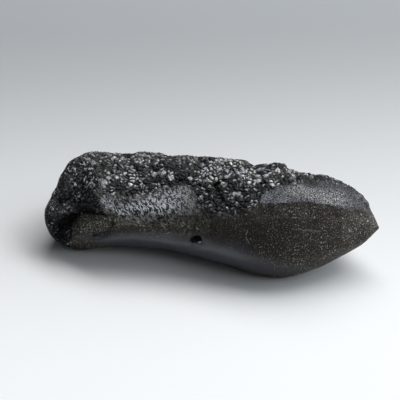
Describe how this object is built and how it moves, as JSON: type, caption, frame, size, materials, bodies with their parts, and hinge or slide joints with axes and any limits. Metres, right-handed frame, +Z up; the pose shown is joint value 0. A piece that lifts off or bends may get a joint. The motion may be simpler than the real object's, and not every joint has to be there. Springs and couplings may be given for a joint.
{
  "type": "tektite",
  "caption": "Elongated tektite of black natural glass with a corroded upper crust, a smooth pinched end, a gas-bubble pit and worn flats that it rests on.",
  "frame": {"origin": "on the surface that the stone rests on, under the middle of its bounding box", "axes": "+X along the stone from its blunt hollowed end to its point, +Z up, -Y out of the side with the gas pit"},
  "size_m": [0.0622, 0.0228, 0.0155],
  "materials": {
    "tektite": "opaque black natural glass, etched and pitted crust above, satin flow-marked flanks"
  },
  "bodies": {
    "root": {"tektite": "tektite"}
  },
  "joints": []
}
